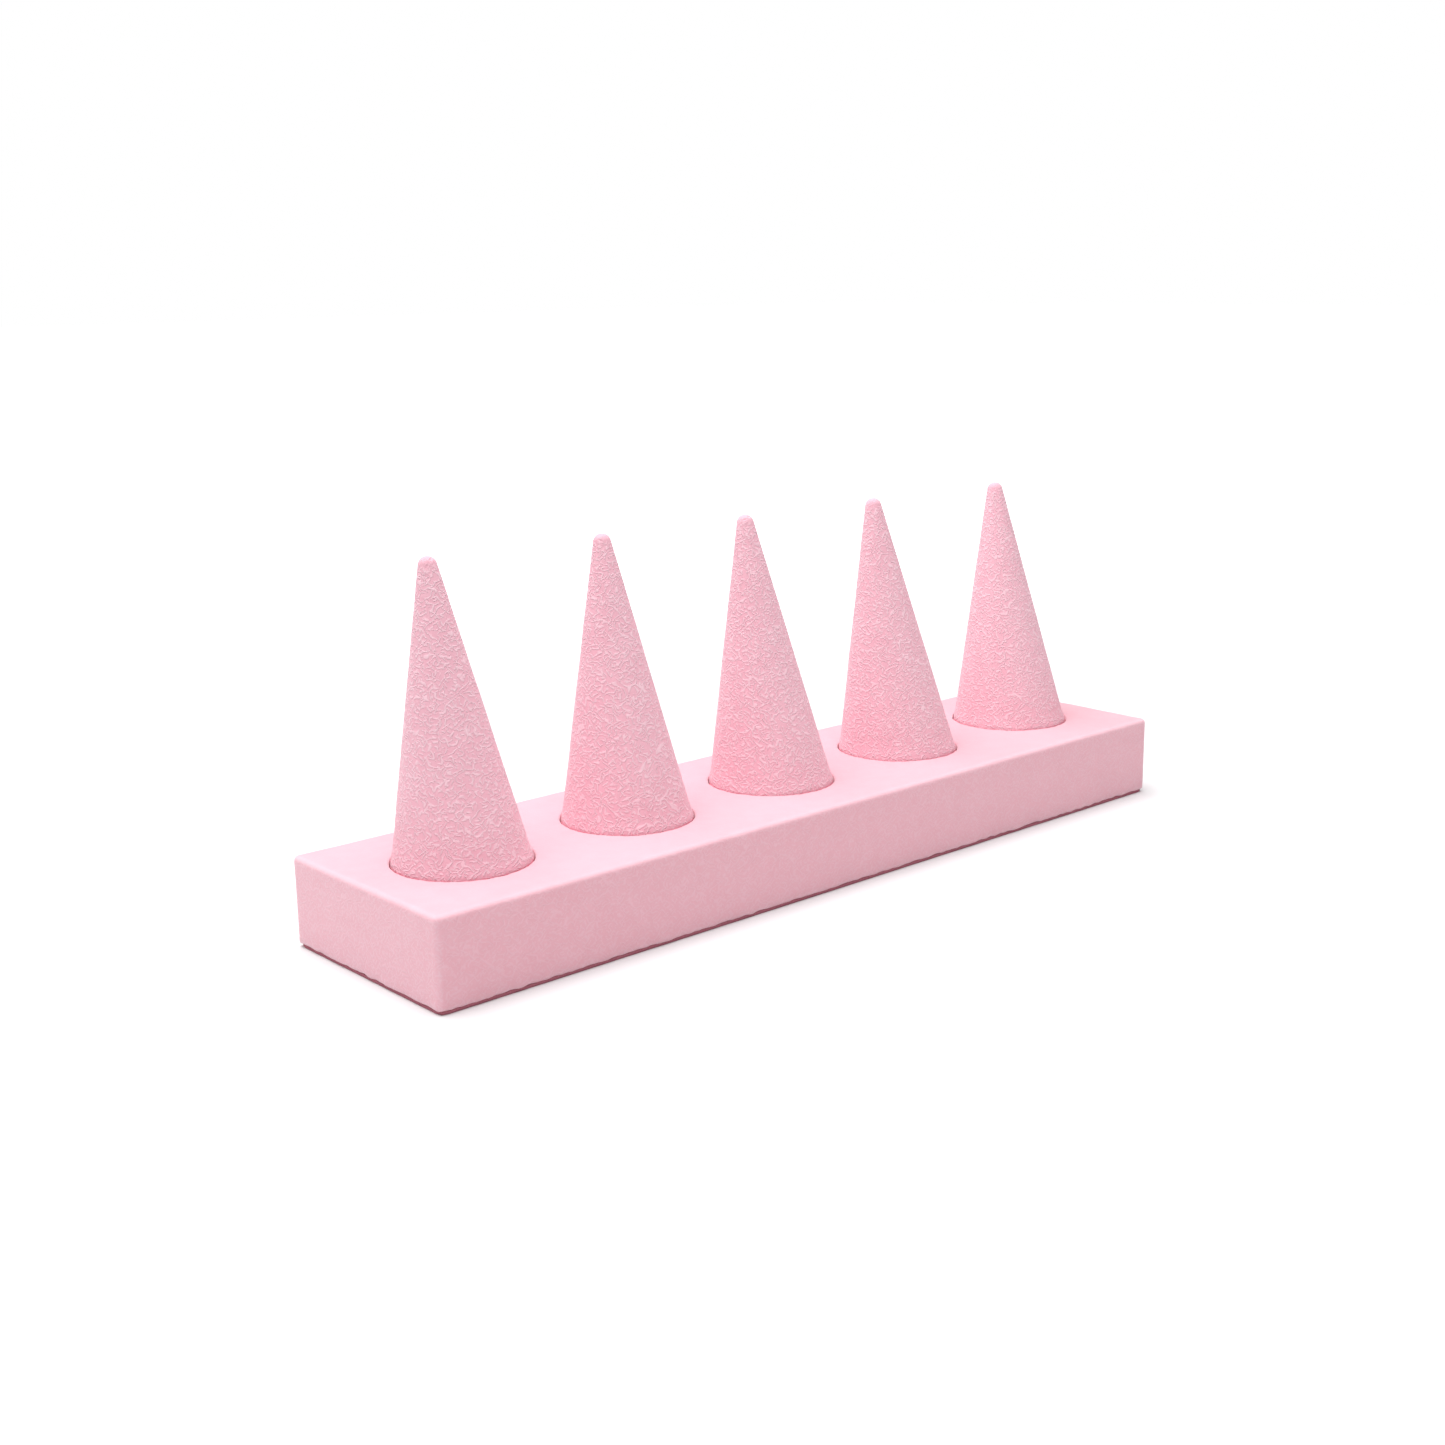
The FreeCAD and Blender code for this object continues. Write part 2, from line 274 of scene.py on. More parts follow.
def under_deck(material, level, start):
    """Share of painted glow: 0 at a height above the block's top, 1 a little way down in a socket."""
    return remap(material, level, BLOCK_HIGH.z - SOCKET_GLOW_REACH, BLOCK_HIGH.z + start, 1.0, 0.0)


def block_places(material, place):
    """Tell a point's closeness to the block's edges, how far it is in a socket, and its height."""
    parts = add_node(material, "ShaderNodeSeparateXYZ", links={"Vector": place}).outputs
    along = calculate(material, "SUBTRACT", BLOCK_HIGH.x, calculate(material, "ABSOLUTE", parts["X"]))
    across = calculate(material, "SUBTRACT", BLOCK_HIGH.y, calculate(material, "ABSOLUTE", parts["Y"]))
    above = calculate(material, "SUBTRACT", BLOCK_HIGH.z, parts["Z"])
    below = calculate(material, "SUBTRACT", parts["Z"], BLOCK_LOW.z)
    upright = calculate(material, "MINIMUM", above, below)
    nearer = calculate(material, "MINIMUM", along, across)
    farther = calculate(material, "MAXIMUM", along, across)
    second = calculate(material, "MAXIMUM", nearer, calculate(material, "MINIMUM", farther, upright))
    # Paler edges: wear, and a painted highlight on the rounded edges and the hem's fold
    edges = remap(material, second, 0.0, EDGE_WEAR_AND_HIGHLIGHT_REACH, 1.0, 0.0)
    inside = remap(material, nearer, SOCKETS_FROM, SOCKETS_SURE)
    # Painted glow of light bounced between the cloths, a little way down in the sockets
    socket_glow_depth = under_deck(material, parts["Z"], BLOCK_SOCKET_GLOW_START)
    return edges, calculate(material, "MULTIPLY", inside, socket_glow_depth), parts["Z"]


def suede(name, ground, raised, painted_socket_glow, curl_height, curl_share, sheen, edge_wear_and_highlight=0.0):
    """Suede cloth: a soft nap, mottled, with short paler curls raised all over.

    Down in a socket its colour is a deeper pink, a painted glow of light bounced between the
    pink cloths in the gap. Worn suede is smooth on the block's top and paler along its edges,
    where the paleness is wear and also a painted highlight on the rounded edges.
    """
    material, shader, place = new_material(name)
    relief = calculate(material, "MAXIMUM", curls(material, place, CURL_SLOPE, (0, 0, 0)),
                       curls(material, place, -CURL_SLOPE, (0.31, 0.17, 0.23)))
    nap = speckle(material, place, NAP_SCALE)
    mottle = remap(material, speckle(material, place, MOTTLE_SCALE, 3.0), 0.3, 0.7, 0.0,
                   MOTTLE_SHARE)
    if edge_wear_and_highlight:
        edges, socket_glow_share, level = block_places(material, place)
        smooth = remap(material, level, BLOCK_HIGH.z - TOP_CURLED, BLOCK_HIGH.z - TOP_SMOOTH, 1.0,
                       WORN_TOP)
        relief = calculate(material, "MULTIPLY", relief, smooth)
        # Paler edges, worn and with a painted highlight, added to the mottle
        mottle = calculate(material, "MULTIPLY_ADD", edges, edge_wear_and_highlight, mottle)
    else:
        level = add_node(material, "ShaderNodeSeparateXYZ", links={"Vector": place}).outputs["Z"]
        # Painted glow of bounced light where the cone goes down into its socket
        socket_glow_share = under_deck(material, level, CONE_SOCKET_GLOW_START)
        smooth = remap(material, level, CONE_TOP - TIP_CURLED, CONE_TOP - TIP_SMOOTH, 1.0,
                       WORN_TIP)
        relief = calculate(material, "MULTIPLY", relief, smooth)
    share = calculate(material, "MULTIPLY_ADD", relief, curl_share, mottle)
    share = calculate(material, "MULTIPLY_ADD", nap, NAP_SHARE, share, clamp=True)
    height = calculate(material, "MULTIPLY_ADD", nap, NAP_HEIGHT, relief)
    bump = add_node(material, "ShaderNodeBump",
                    values={"Strength": 1.0, "Distance": curl_height}, links={"Height": height})
    # Curls and mottle make it paler; in the sockets a deeper pink is painted for bounced light
    colour = mix_colours(material, socket_glow_share, mix_colours(material, share, ground, raised), painted_socket_glow)
    material.node_tree.links.new(colour, shader.inputs["Base Color"])
    material.node_tree.links.new(bump.outputs["Normal"], shader.inputs["Normal"])
    shader.inputs["Roughness"].default_value = 0.9
    shader.inputs["Specular IOR Level"].default_value = 0.1
    shader.inputs["Sheen Weight"].default_value = sheen
    shader.inputs["Sheen Roughness"].default_value = 0.45
    shader.inputs["Sheen Tint"].default_value = (1.0, 0.93, 0.97, 1.0)
    return material


def plain_fibre(name, colour, scale, stretch, relief, roughness):
    """Felt, board or wood: fibres that differ in colour and stand up a little."""
    material, shader, place = new_material(name)
    there = moved(material, place, stretch=stretch)
    fibres = speckle(material, there, scale, 4.0, 0.4)
    tint = mix_colours(material, fibres, shade(colour, 0.7), shade(colour, 1.25))
    bump = add_node(material, "ShaderNodeBump",
                    values={"Strength": 0.8, "Distance": relief}, links={"Height": fibres})
    material.node_tree.links.new(tint, shader.inputs["Base Color"])
    material.node_tree.links.new(bump.outputs["Normal"], shader.inputs["Normal"])
    shader.inputs["Roughness"].default_value = roughness
    shader.inputs["Specular IOR Level"].default_value = 0.25
    return material


# Shaping

# Two faces that meet more sharply than this make a fold
FOLD_ANGLE = math.radians(60)


def grow(bm, edges, place):
    """Extrude a loop of edges, put each new point where a rule says, and return the new loop."""
    made = bmesh.ops.extrude_edge_only(bm, edges=edges)["geom"]
    for point in made:
        if isinstance(point, bmesh.types.BMVert):
            point.co = place(point.co)
    return [item for item in made if isinstance(item, bmesh.types.BMEdge) and item.is_boundary]


def round_folds(bm, edges, radius, segments):
    """Round sharp folds to a radius."""
    bmesh.ops.bevel(bm, geom=edges, offset=radius, offset_type="OFFSET", segments=segments,
                    profile=0.5, affect="EDGES", material=-1, clamp_overlap=True)


def folds(bm, wanted=lambda edge: True):
    """Turn all faces the same way, and list the sharp folds between them that are wanted."""
    bmesh.ops.recalc_face_normals(bm, faces=bm.faces)
    return [edge for edge in bm.edges
            if len(edge.link_faces) == 2 and edge.calc_face_angle() > FOLD_ANGLE and wanted(edge)]


def is_level(edge, height):
    """Tell whether an edge lies at a height."""
    return all(abs(point.co.z - height) < 0.01 * MM for point in edge.verts)


def at_height(height):
    """Make a rule that drops a point straight to a height."""
    return lambda co: Vector((co.x, co.y, height))


def at_radius(radius, height):
    """Make a rule that draws a point in to a radius about the middle, at a height."""
    def place(co):
        across = math.hypot(co.x, co.y)
        return Vector((co.x * radius / across, co.y * radius / across, height))
    return place


def ripple(bm, rule):
    """Move every point along its normal by what the rule says for its place."""
    bm.normal_update()
    moves = [(point, point.normal * rule(point.co)) for point in bm.verts]
    for point, move in moves:
        point.co += move


def grains(co, size, seed):
    """Soft random value from about -1 to 1, the same for the same place each time."""
    return noise.noise(Vector((co.x / size + seed, co.y / size - seed, co.z / size + 2 * seed)))


def finish_piece(context, name, bm, material):
    """Turn a shape into a smooth-shaded object with its material."""
    bmesh.ops.remove_doubles(bm, verts=bm.verts, dist=0.001 * MM)
    bmesh.ops.recalc_face_normals(bm, faces=bm.faces)
    for face in bm.faces:
        face.smooth = True
    mesh = bpy.data.meshes.new(name)
    bm.to_mesh(mesh)
    bm.free()
    piece = bpy.data.objects.new(name, mesh)
    context.scene.collection.objects.link(piece)
    mesh.materials.append(material)
    return piece


def give_thickness(piece, thickness):
    """Give a cloth shape its thickness, inwards from the shape."""
    wall = piece.modifiers.new("Cloth thickness", "SOLIDIFY")
    wall.thickness = thickness
    wall.offset = -1.0


# Block

SOCKET_SEGMENTS = 192
SIDE_STEPS = 11
# Shares of the way from a socket's mouth to its cell's edge, and of the way down its lining
MOUTH_SHARES = (0.12, 0.3, 0.52, 0.76, 1.0)
LINING_SHARES = (0.1, 0.3, 0.55, 0.8, 1.0)
HEM_SHARES = (0.2, 0.6, 1.0)
# Steps round the folds at the sockets' rims, at the block's edges and at the hem
RIM_STEPS = 4
EDGE_STEPS = 6
HEM_STEPS = 4


def outward(centre, mouth_radius, cell, share):
    """Make a rule that moves a point out from a socket's mouth towards its square cell."""
    def place(co):
        away = Vector((co.x - centre, co.y, 0)).normalized()
        reach = cell / max(abs(away.x), abs(away.y))
        far = mouth_radius + (reach - mouth_radius) * share
        return Vector((centre + away.x * far, away.y * far, co.z))
    return place


def stretched(old, new, height):
    """Make a rule that stretches a rectangle to another one, at a height."""
    return lambda co: Vector((co.x * new[0] / old[0], co.y * new[1] / old[1], height))


def cover_block(bm, sizes):
    """Shape the cloth over the block: top, socket linings, sides and hem."""
    deck = BLOCK_HIGH.z
    half = (BLOCK_HIGH.x, BLOCK_HIGH.y)
    cell = SOCKET_PITCH / 2
    for centre in CONE_PLACES:
        points = bmesh.ops.create_circle(bm, segments=SOCKET_SEGMENTS, radius=sizes.socket_radius,
                                         matrix=Matrix.Translation((centre, 0, deck)))["verts"]
        loop = list({edge for point in points for edge in point.link_edges})
        for share in MOUTH_SHARES:
            loop = grow(bm, loop, outward(centre, sizes.socket_radius, cell, share))
    bmesh.ops.remove_doubles(bm, verts=bm.verts, dist=0.01 * MM)
    mouths = [edge for edge in bm.edges if edge.is_boundary and near_socket(edge, sizes)]
    loop = [edge for edge in bm.edges if edge.is_boundary and not near_socket(edge, sizes)]

    # The rows next to the edges leave room for the rounding
    margin = sizes.edge_radius * 1.4
    old = (cell * len(CONE_PLACES), cell)
    inner = (half[0] - margin, half[1] - margin)
    between = tuple((before + after) / 2 for before, after in zip(old, inner))
    for new in (between, inner, half):
        loop = grow(bm, loop, stretched(old, new, deck))
        old = new
    bottom = BLOCK_LOW.z
    run = deck - bottom - 2 * margin
    for step in range(SIDE_STEPS + 1):
        loop = grow(bm, loop, at_height(deck - margin - run * step / SIDE_STEPS))
    loop = grow(bm, loop, at_height(bottom))
    for share in HEM_SHARES:
        inset = sizes.base_hem * share
        new = (half[0] - inset, half[1] - inset)
        loop = grow(bm, loop, stretched(old, new, bottom))
        old = new

    depth = deck - SOCKET_FLOOR
    for share in LINING_SHARES:
        mouths = grow(bm, mouths, at_height(deck - depth * share))

    rims = folds(bm, lambda edge: near_socket(edge, sizes))
    round_folds(bm, rims, sizes.socket_rim, RIM_STEPS)
    edges = folds(bm, lambda edge: not is_level(edge, bottom))
    round_folds(bm, edges, sizes.edge_radius, EDGE_STEPS)
    turned_in = folds(bm)
    round_folds(bm, turned_in, sizes.fold_radius, HEM_STEPS)


def cover_flat(sizes):
    """Flat cut of the block's cloth: its width and length, and its area with linings and hem."""
    height = BLOCK_HIGH.z - BLOCK_LOW.z
    side = height + sizes.base_hem
    width, length = 2 * BLOCK_HIGH.y, 2 * BLOCK_HIGH.x
    lining = 2 * math.pi * sizes.socket_radius * (BLOCK_HIGH.z - SOCKET_FLOOR)
    mouth = math.pi * sizes.socket_radius ** 2
    area = width * length + 2 * (width + length) * side + len(CONE_PLACES) * (lining - mouth)
    return (width + 2 * side, length + 2 * side), area


def near_socket(edge, sizes):
    """Tell whether an edge lies on the mouth of a socket."""
    middle = (edge.verts[0].co + edge.verts[1].co) / 2
    nearest = min(math.hypot(middle.x - place, middle.y) for place in CONE_PLACES)
    return nearest < sizes.socket_radius * 1.01


# The cloth's unevenness: the size of its grains, how high they stand, and how far from an edge,
# the hem or a rim they fade
FACE_GRAIN = 14 * MM
FACE_HEIGHT = 0.05 * MM
EDGE_GRAIN = 4.5 * MM
EDGE_HEIGHT = 0.10 * MM
EDGE_FADE = 2.5 * MM
HEM_GRAIN = 2.4 * MM
HEM_HEIGHT = 0.35 * MM
HEM_FADE = 0.9 * MM
RIM_GRAIN = 1.3 * MM
RIM_HEIGHT = 0.14 * MM
RIM_BULGE = 0.12 * MM
RIM_FADE = 0.6 * MM
# How far outside a cone's foot the rim of its socket stands highest
RIM_CREST = 0.7 * MM


def block_ripple(co):
    """Slight unevenness of glued cloth: broad on the faces, finer along edges, rims and hem."""
    broad = grains(co, FACE_GRAIN, 3.1) * FACE_HEIGHT
    to_edge = min(BLOCK_HIGH.x - abs(co.x), BLOCK_HIGH.y - abs(co.y))
    under = max(BLOCK_HIGH.z - co.z, 0)
    edges = math.exp(-(max(to_edge, 0) + under) / EDGE_FADE) * grains(co, EDGE_GRAIN, 7.7)
    hem = math.exp((BLOCK_LOW.z - co.z) / HEM_FADE) * grains(co, HEM_GRAIN, 1.9)
    to_foot = min(math.hypot(co.x - place, co.y) for place in CONE_PLACES) - FOOT_RADIUS
    near_rim = math.exp(-(abs(to_foot - RIM_CREST) + under) / RIM_FADE)
    rims = near_rim * (grains(co, RIM_GRAIN, 4.3) * RIM_HEIGHT + RIM_BULGE)
    return broad + edges * EDGE_HEIGHT + hem * HEM_HEIGHT + rims


class RINGSTAND_OT_base_suede(bpy.types.Operator):
    """Cover the block in suede"""
    bl_idname = "ring_stand.base_suede"
    bl_label = "Block suede"

    def execute(self, context):
        sizes = context.scene.ring_stand_sizes
        colours = context.scene.ring_stand_colours
        bm = bmesh.new()
        cover_block(bm, sizes)
        bmesh.ops.recalc_face_normals(bm, faces=bm.faces)
        ripple(bm, block_ripple)
        material = suede("Block suede", colours.base_suede, colours.base_curls,
                         colours.painted_socket_glow, curl_height=0.04 * MM, curl_share=0.35, sheen=0.9,
                         edge_wear_and_highlight=0.4)
        piece = finish_piece(context, "base_suede", bm, material)
        give_thickness(piece, sizes.cloth)
        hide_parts("base_cover")
        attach(piece, "root")
        flat, area = cover_flat(sizes)
        return {"FINISHED"}


# Cones

CONE_COLUMNS = 192
TIP_STEPS = 20
SIDE_ROWS = 130
# The rows on a cone's side lie closer together towards the tip
ROW_SPREAD = 1.25
CONE_HEM_SHARES = (0.3, 1.0)
CONE_HEM_STEPS = 3

# Small creases of the gathered cloth on the first three tips, as seen from the camera: how far
# to the right of the tip's centre and below its top and half the length, all in millimetres, and
# the slope in degrees
TIP_CREASES = {
    1: ((0.15, 2.1, 0.7, 50), (1.05, 0.6, 0.4, 15), (-0.1, 4.2, 0.9, -20)),
    2: ((-0.3, 1.5, 0.5, -30), (0.5, 2.9, 0.7, 35)),
    3: ((-0.1, 1.1, 0.4, 20), (1.0, 0.5, 0.4, -25), (0.25, 2.8, 0.7, 60)),
}
CREASE_DEPTH = 0.15 * MM
# Half of a crease's width, in millimetres
CREASE_WIDTH = 0.18
# The cones' unevenness: grain sizes and heights, and the bulge of the cloth at the block's top
WRINKLE_GRAIN = 1.5 * MM
WRINKLE_HEIGHT = 0.03 * MM
WRINKLE_WIDTH = 0.22
SWELL_GRAIN = 9 * MM
SWELL_HEIGHT = 0.07 * MM
FOOT_BULGE = 0.20 * MM
FOOT_FADE = 2 * MM
# The unevenness starts this far down in the socket and grows over the next stretch, and it fades
# over this length below the top
UNEVEN_START = 1.5 * MM
UNEVEN_RUN = 2 * MM
TIP_FADE = 6 * MM


def slants(sizes):
    """Half of the cone's point angle and the lean of its axis, from its foot and tip."""
    rise = CONE_TOP - sizes.tip_radius - BLOCK_HIGH.z
    angles = []
    for reach in (FOOT_RADIUS + sizes.cone_lean, FOOT_RADIUS - sizes.cone_lean):
        angles.append(math.atan(reach / rise) - math.asin(sizes.tip_radius / math.hypot(reach, rise)))
    return (angles[0] + angles[1]) / 2, (angles[0] - angles[1]) / 2


def tip_profile(sizes, slant):
    """Half of the cone's outline, from the top of the tip down, about the tip's centre."""
    points = []
    for step in range(TIP_STEPS + 1):
        angle = (math.pi / 2 - slant) * step / TIP_STEPS
        points.append(Vector((sizes.tip_radius * math.sin(angle), 0,
                              sizes.tip_radius * math.cos(angle))))
    start = points[-1].z
    end = SOCKET_FLOOR - CONE_TOP
    for step in range(1, SIDE_ROWS + 1):
        share = (step / SIDE_ROWS) ** ROW_SPREAD
        level = start + (end - start) * share
        points.append(Vector((sizes.tip_radius / math.cos(slant) - level * math.tan(slant), 0,
                              level)))
    return points


def lean_and_trim(bm, sizes, slant, lean):
    """Tilt the cone about its tip, end it level at the foot and trim it to the round foot."""
    tip_centre = Vector((0, sizes.cone_lean, CONE_TOP - sizes.tip_radius))
    tilt = Matrix.Rotation(-lean, 3, "X")
    start = sizes.tip_radius * math.sin(slant)
    end = SOCKET_FLOOR - CONE_TOP
    wide = sizes.tip_radius / math.cos(slant)
    drop = tip_centre.z - SOCKET_FLOOR
    for point in bm.verts:
        co = point.co
        if co.z < start - 0.001 * MM:
            away = Vector((co.x, co.y, 0)).normalized()
            up_share = (tilt @ away).z
            run = (drop + up_share * wide) / (math.cos(lean) - up_share * math.tan(slant))
            level = start - (run + start) * (start - co.z) / (start - end)
            co = away * (wide - level * math.tan(slant)) + Vector((0, 0, level))
        co = tip_centre + tilt @ co
        across = math.hypot(co.x, co.y)
        if across > FOOT_RADIUS:
            co.x *= FOOT_RADIUS / across
            co.y *= FOOT_RADIUS / across
        point.co = co


def creases(number, turn, tip, co):
    """How deep a point lies in its tip's creases."""
    away = (co - tip) / MM
    facing = Matrix.Rotation(-CAMERA_TURN + math.radians(turn), 3, "Z") @ away
    around = math.atan2(facing.x, -facing.y) * math.hypot(facing.x, facing.y)
    below = tip_top(tip) - away.z
    depth = 0
    for across, drop, half_length, slope in TIP_CREASES.get(number, ()):
        angle = math.radians(slope)
        side, down = around - across, below - drop
        along = side * math.cos(angle) - down * math.sin(angle)
        off = side * math.sin(angle) + down * math.cos(angle)
        shape = math.exp(-(off / CREASE_WIDTH) ** 2) * math.exp(-(along / half_length) ** 4)
        depth += CREASE_DEPTH * shape
    return depth


def tip_top(tip):
    """Height of the cone's top above the tip's centre, in millimetres."""
    return (CONE_TOP - tip.z) / MM


def cone_ripple(number, turn, tip):
    """Make the rule for a cone's small wrinkles, faded in the socket and on the tip."""
    def rule(co):
        wrinkles = 1 - min(abs(grains(co, WRINKLE_GRAIN, 11.3 * number)) / WRINKLE_WIDTH, 1)
        swell = grains(co, SWELL_GRAIN, 5.9 * number)
        above = min(max((co.z - BLOCK_HIGH.z + UNEVEN_START) / UNEVEN_RUN, 0), 1)
        below = min(max((CONE_TOP - co.z) / TIP_FADE - 0.2, 0), 1)
        uneven = (wrinkles * WRINKLE_HEIGHT + swell * SWELL_HEIGHT) * above * below
        foot = math.exp(-((co.z - BLOCK_HIGH.z) / FOOT_FADE) ** 2) * FOOT_BULGE
        folded = creases(number, turn, tip, co) if co.z > tip.z - TIP_FADE else 0
        return uneven + foot - folded
    return rule


def cover_cone(bm, sizes, slant, lean):
    """Shape the cloth over an unturned cone at the middle: its side, tip, foot and hem."""
    points = [bm.verts.new(co) for co in tip_profile(sizes, slant)]
    edges = [bm.edges.new(pair) for pair in zip(points, points[1:])]
    bmesh.ops.spin(bm, geom=points + edges, cent=(0, 0, 0), axis=(0, 0, 1), dvec=(0, 0, 0),
                   angle=2 * math.pi, steps=CONE_COLUMNS, use_merge=True)
    bmesh.ops.remove_doubles(bm, verts=bm.verts, dist=0.001 * MM)
    lean_and_trim(bm, sizes, slant, lean)
    loop = [edge for edge in bm.edges if edge.is_boundary]
    for share in CONE_HEM_SHARES:
        loop = grow(bm, loop, at_radius(FOOT_RADIUS - sizes.cone_hem * share, SOCKET_FLOOR))
    turned_in = folds(bm, lambda edge: is_level(edge, SOCKET_FLOOR))
    round_folds(bm, turned_in, sizes.fold_radius, CONE_HEM_STEPS)


def cone_flat(sizes, slant):
    """Flat cut of a cone's cloth, a part of a disc: its width and length, and its area."""
    slope = (CONE_TOP - SOCKET_FLOOR) / math.cos(slant) + sizes.cone_hem
    turn = 2 * math.pi * math.sin(slant)
    area = math.pi * (sizes.tip_radius + FOOT_RADIUS) * slope
    return (2 * slope * math.sin(turn / 2), slope), area


class RINGSTAND_OT_cone_suede(bpy.types.Operator):
    """Cover each cone in suede"""
    bl_idname = "ring_stand.cone_suede"
    bl_label = "Cone suede"

    def execute(self, context):
        sizes = context.scene.ring_stand_sizes
        colours = context.scene.ring_stand_colours
        slant, lean = slants(sizes)
        material = suede("Cone suede", colours.cone_suede, colours.cone_curls,
                         colours.painted_socket_glow, curl_height=0.115 * MM, curl_share=0.6, sheen=0.25)
        for number, (name, centre, turn) in enumerate(
                zip(CONE_NAMES, CONE_PLACES, CONE_TURNS), start=1):
            bm = bmesh.new()
            cover_cone(bm, sizes, slant, lean)
            bmesh.ops.recalc_face_normals(bm, faces=bm.faces)
            tip = Vector((0, sizes.cone_lean, CONE_TOP - sizes.tip_radius))
            ripple(bm, cone_ripple(number, turn, tip))
            bmesh.ops.transform(bm, verts=bm.verts,
                                matrix=Matrix.Translation((centre, 0, 0))
                                @ Matrix.Rotation(math.radians(turn), 4, "Z"))
            piece = finish_piece(context, "cone_suede_%d" % number, bm, material)
            give_thickness(piece, sizes.cloth)
            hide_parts(name)
            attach(piece, "root")
            flat, area = cone_flat(sizes, slant)
        return {"FINISHED"}


# Felt

FELT_COLUMNS = 124
FELT_ROWS = 28
# Length over which the felt rises from its lap to its raised middle
FELT_RISE = 0.6 * MM


class RINGSTAND_OT_base_felt(bpy.types.Operator):
    """Lay the felt under the block"""
    bl_idname = "ring_stand.base_felt"
    bl_label = "Felt"

    def execute(self, context):
        sizes = context.scene.ring_stand_sizes
        colours = context.scene.ring_stand_colours
        low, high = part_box("base_pad")
        lap = BLOCK_LOW.z
        bm = bmesh.new()
        bmesh.ops.create_grid(bm, x_segments=FELT_COLUMNS, y_segments=FELT_ROWS, size=1,
                              matrix=Matrix.Diagonal((high.x, high.y, 1, 1)))
        for point in bm.verts:
            round_corner(point, high, sizes.felt_corner)
        made = bmesh.ops.extrude_face_region(bm, geom=bm.faces[:])["geom"]
        margin = sizes.base_hem + sizes.felt_clearance
        middle = (BLOCK_HIGH.x - margin, BLOCK_HIGH.y - margin)
        for point in made:
            if isinstance(point, bmesh.types.BMVert):
                inside = min(middle[0] - abs(point.co.x), middle[1] - abs(point.co.y))
                raised = min(max(inside / FELT_RISE, 0), 1)
                point.co.z = lap + (high.z - lap) * raised
        material = plain_fibre("Felt", colours.felt, scale=2600, stretch=(1, 1, 1),
                               relief=0.12 * MM, roughness=1.0)
        piece = finish_piece(context, "base_felt", bm, material)
        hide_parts("base_pad")
        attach(piece, "root")
        return {"FINISHED"}


def round_corner(point, high, radius):
    """Draw a point near a corner of the felt in onto the rounded corner."""
    x_over = abs(point.co.x) - (high.x - radius)
    y_over = abs(point.co.y) - (high.y - radius)
    far = math.hypot(x_over, y_over)
    if x_over > 0 and y_over > 0 and far > radius:
        point.co.x = math.copysign(high.x - radius + x_over * radius / far, point.co.x)
        point.co.y = math.copysign(high.y - radius + y_over * radius / far, point.co.y)


# Cores

class RINGSTAND_OT_cores(bpy.types.Operator):
    """Give the board and the turned cores their finish"""
    bl_idname = "ring_stand.cores"
    bl_label = "Cores"

    def execute(self, context):
        colours = context.scene.ring_stand_colours
        board = plain_fibre("Fibre board", colours.board, scale=1500, stretch=(1, 1, 1),
                            relief=0.05 * MM, roughness=0.8)
        wood = plain_fibre("Turned wood", colours.wood, scale=500, stretch=(1, 1, 0.06),
                           relief=0.05 * MM, roughness=0.6)
        for name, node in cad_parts.items():
            if "core" in name:
                finish = board if name == "base_core" else wood
                for material_slot in node.material_slots:
                    material_slot.material = finish
        return {"FINISHED"}


# Stage

FLOOR_SIZE = 6.0
# The floor's own glow for the camera: its strength near the stand, and the distances between
# which it grows until the floor reads white
GLOW_NEAR = 0.05
GLOW_START = 0.16
GLOW_END = 0.6
# Strength of the even daylight, and the overhead softbox
DAYLIGHT = 0.42
SOFTBOX_PLACE = (-0.10, 0.1, 0.9)
SOFTBOX_SIZE = 0.9
SOFTBOX_POWER = 13.6


def make_floor(context, colour):
    """Lay a pale floor that looks white to the camera and keeps the stand's shadow."""
    bm = bmesh.new()
    bmesh.ops.create_grid(bm, x_segments=1, y_segments=1, size=FLOOR_SIZE)
    material, shader, place = new_material("Pale floor")
    shader.inputs["Base Color"].default_value = (*colour, 1)
    shader.inputs["Roughness"].default_value = 0.9
    shader.inputs["Specular IOR Level"].default_value = 0.0
    path = add_node(material, "ShaderNodeLightPath")
    seen = calculate(material, "MAXIMUM", path.outputs["Is Camera Ray"],
                     path.outputs["Is Glossy Ray"])
    far = add_node(material, "ShaderNodeVectorMath", {"operation": "LENGTH"}, links={"Vector": place})
    white = remap(material, far.outputs["Value"], GLOW_START, GLOW_END, GLOW_NEAR, 1.0)
    glow = add_node(material, "ShaderNodeEmission")
    material.node_tree.links.new(calculate(material, "MULTIPLY", seen, white),
                                 glow.inputs["Strength"])
    both = add_node(material, "ShaderNodeAddShader")
    material.node_tree.links.new(shader.outputs["BSDF"], both.inputs[0])
    material.node_tree.links.new(glow.outputs["Emission"], both.inputs[1])
    output = material.node_tree.nodes["Material Output"]
    material.node_tree.links.new(both.outputs["Shader"], output.inputs["Surface"])
    finish_piece(context, "floor", bm, material)


def light_world(scene):
    """Even pale daylight, seen as white by the camera."""
    world = bpy.data.worlds.new("Pale room")
    world.use_nodes = True
    nodes, links = world.node_tree.nodes, world.node_tree.links
    backdrop = nodes["Background"]
    backdrop.inputs["Color"].default_value = (1, 1, 1, 1)
    path = nodes.new("ShaderNodeLightPath")
    strength = nodes.new("ShaderNodeMapRange")
    strength.inputs["To Min"].default_value = DAYLIGHT
    strength.inputs["To Max"].default_value = 1.0
    links.new(path.outputs["Is Camera Ray"], strength.inputs["Value"])
    links.new(strength.outputs["Result"], backdrop.inputs["Strength"])
    scene.world = world


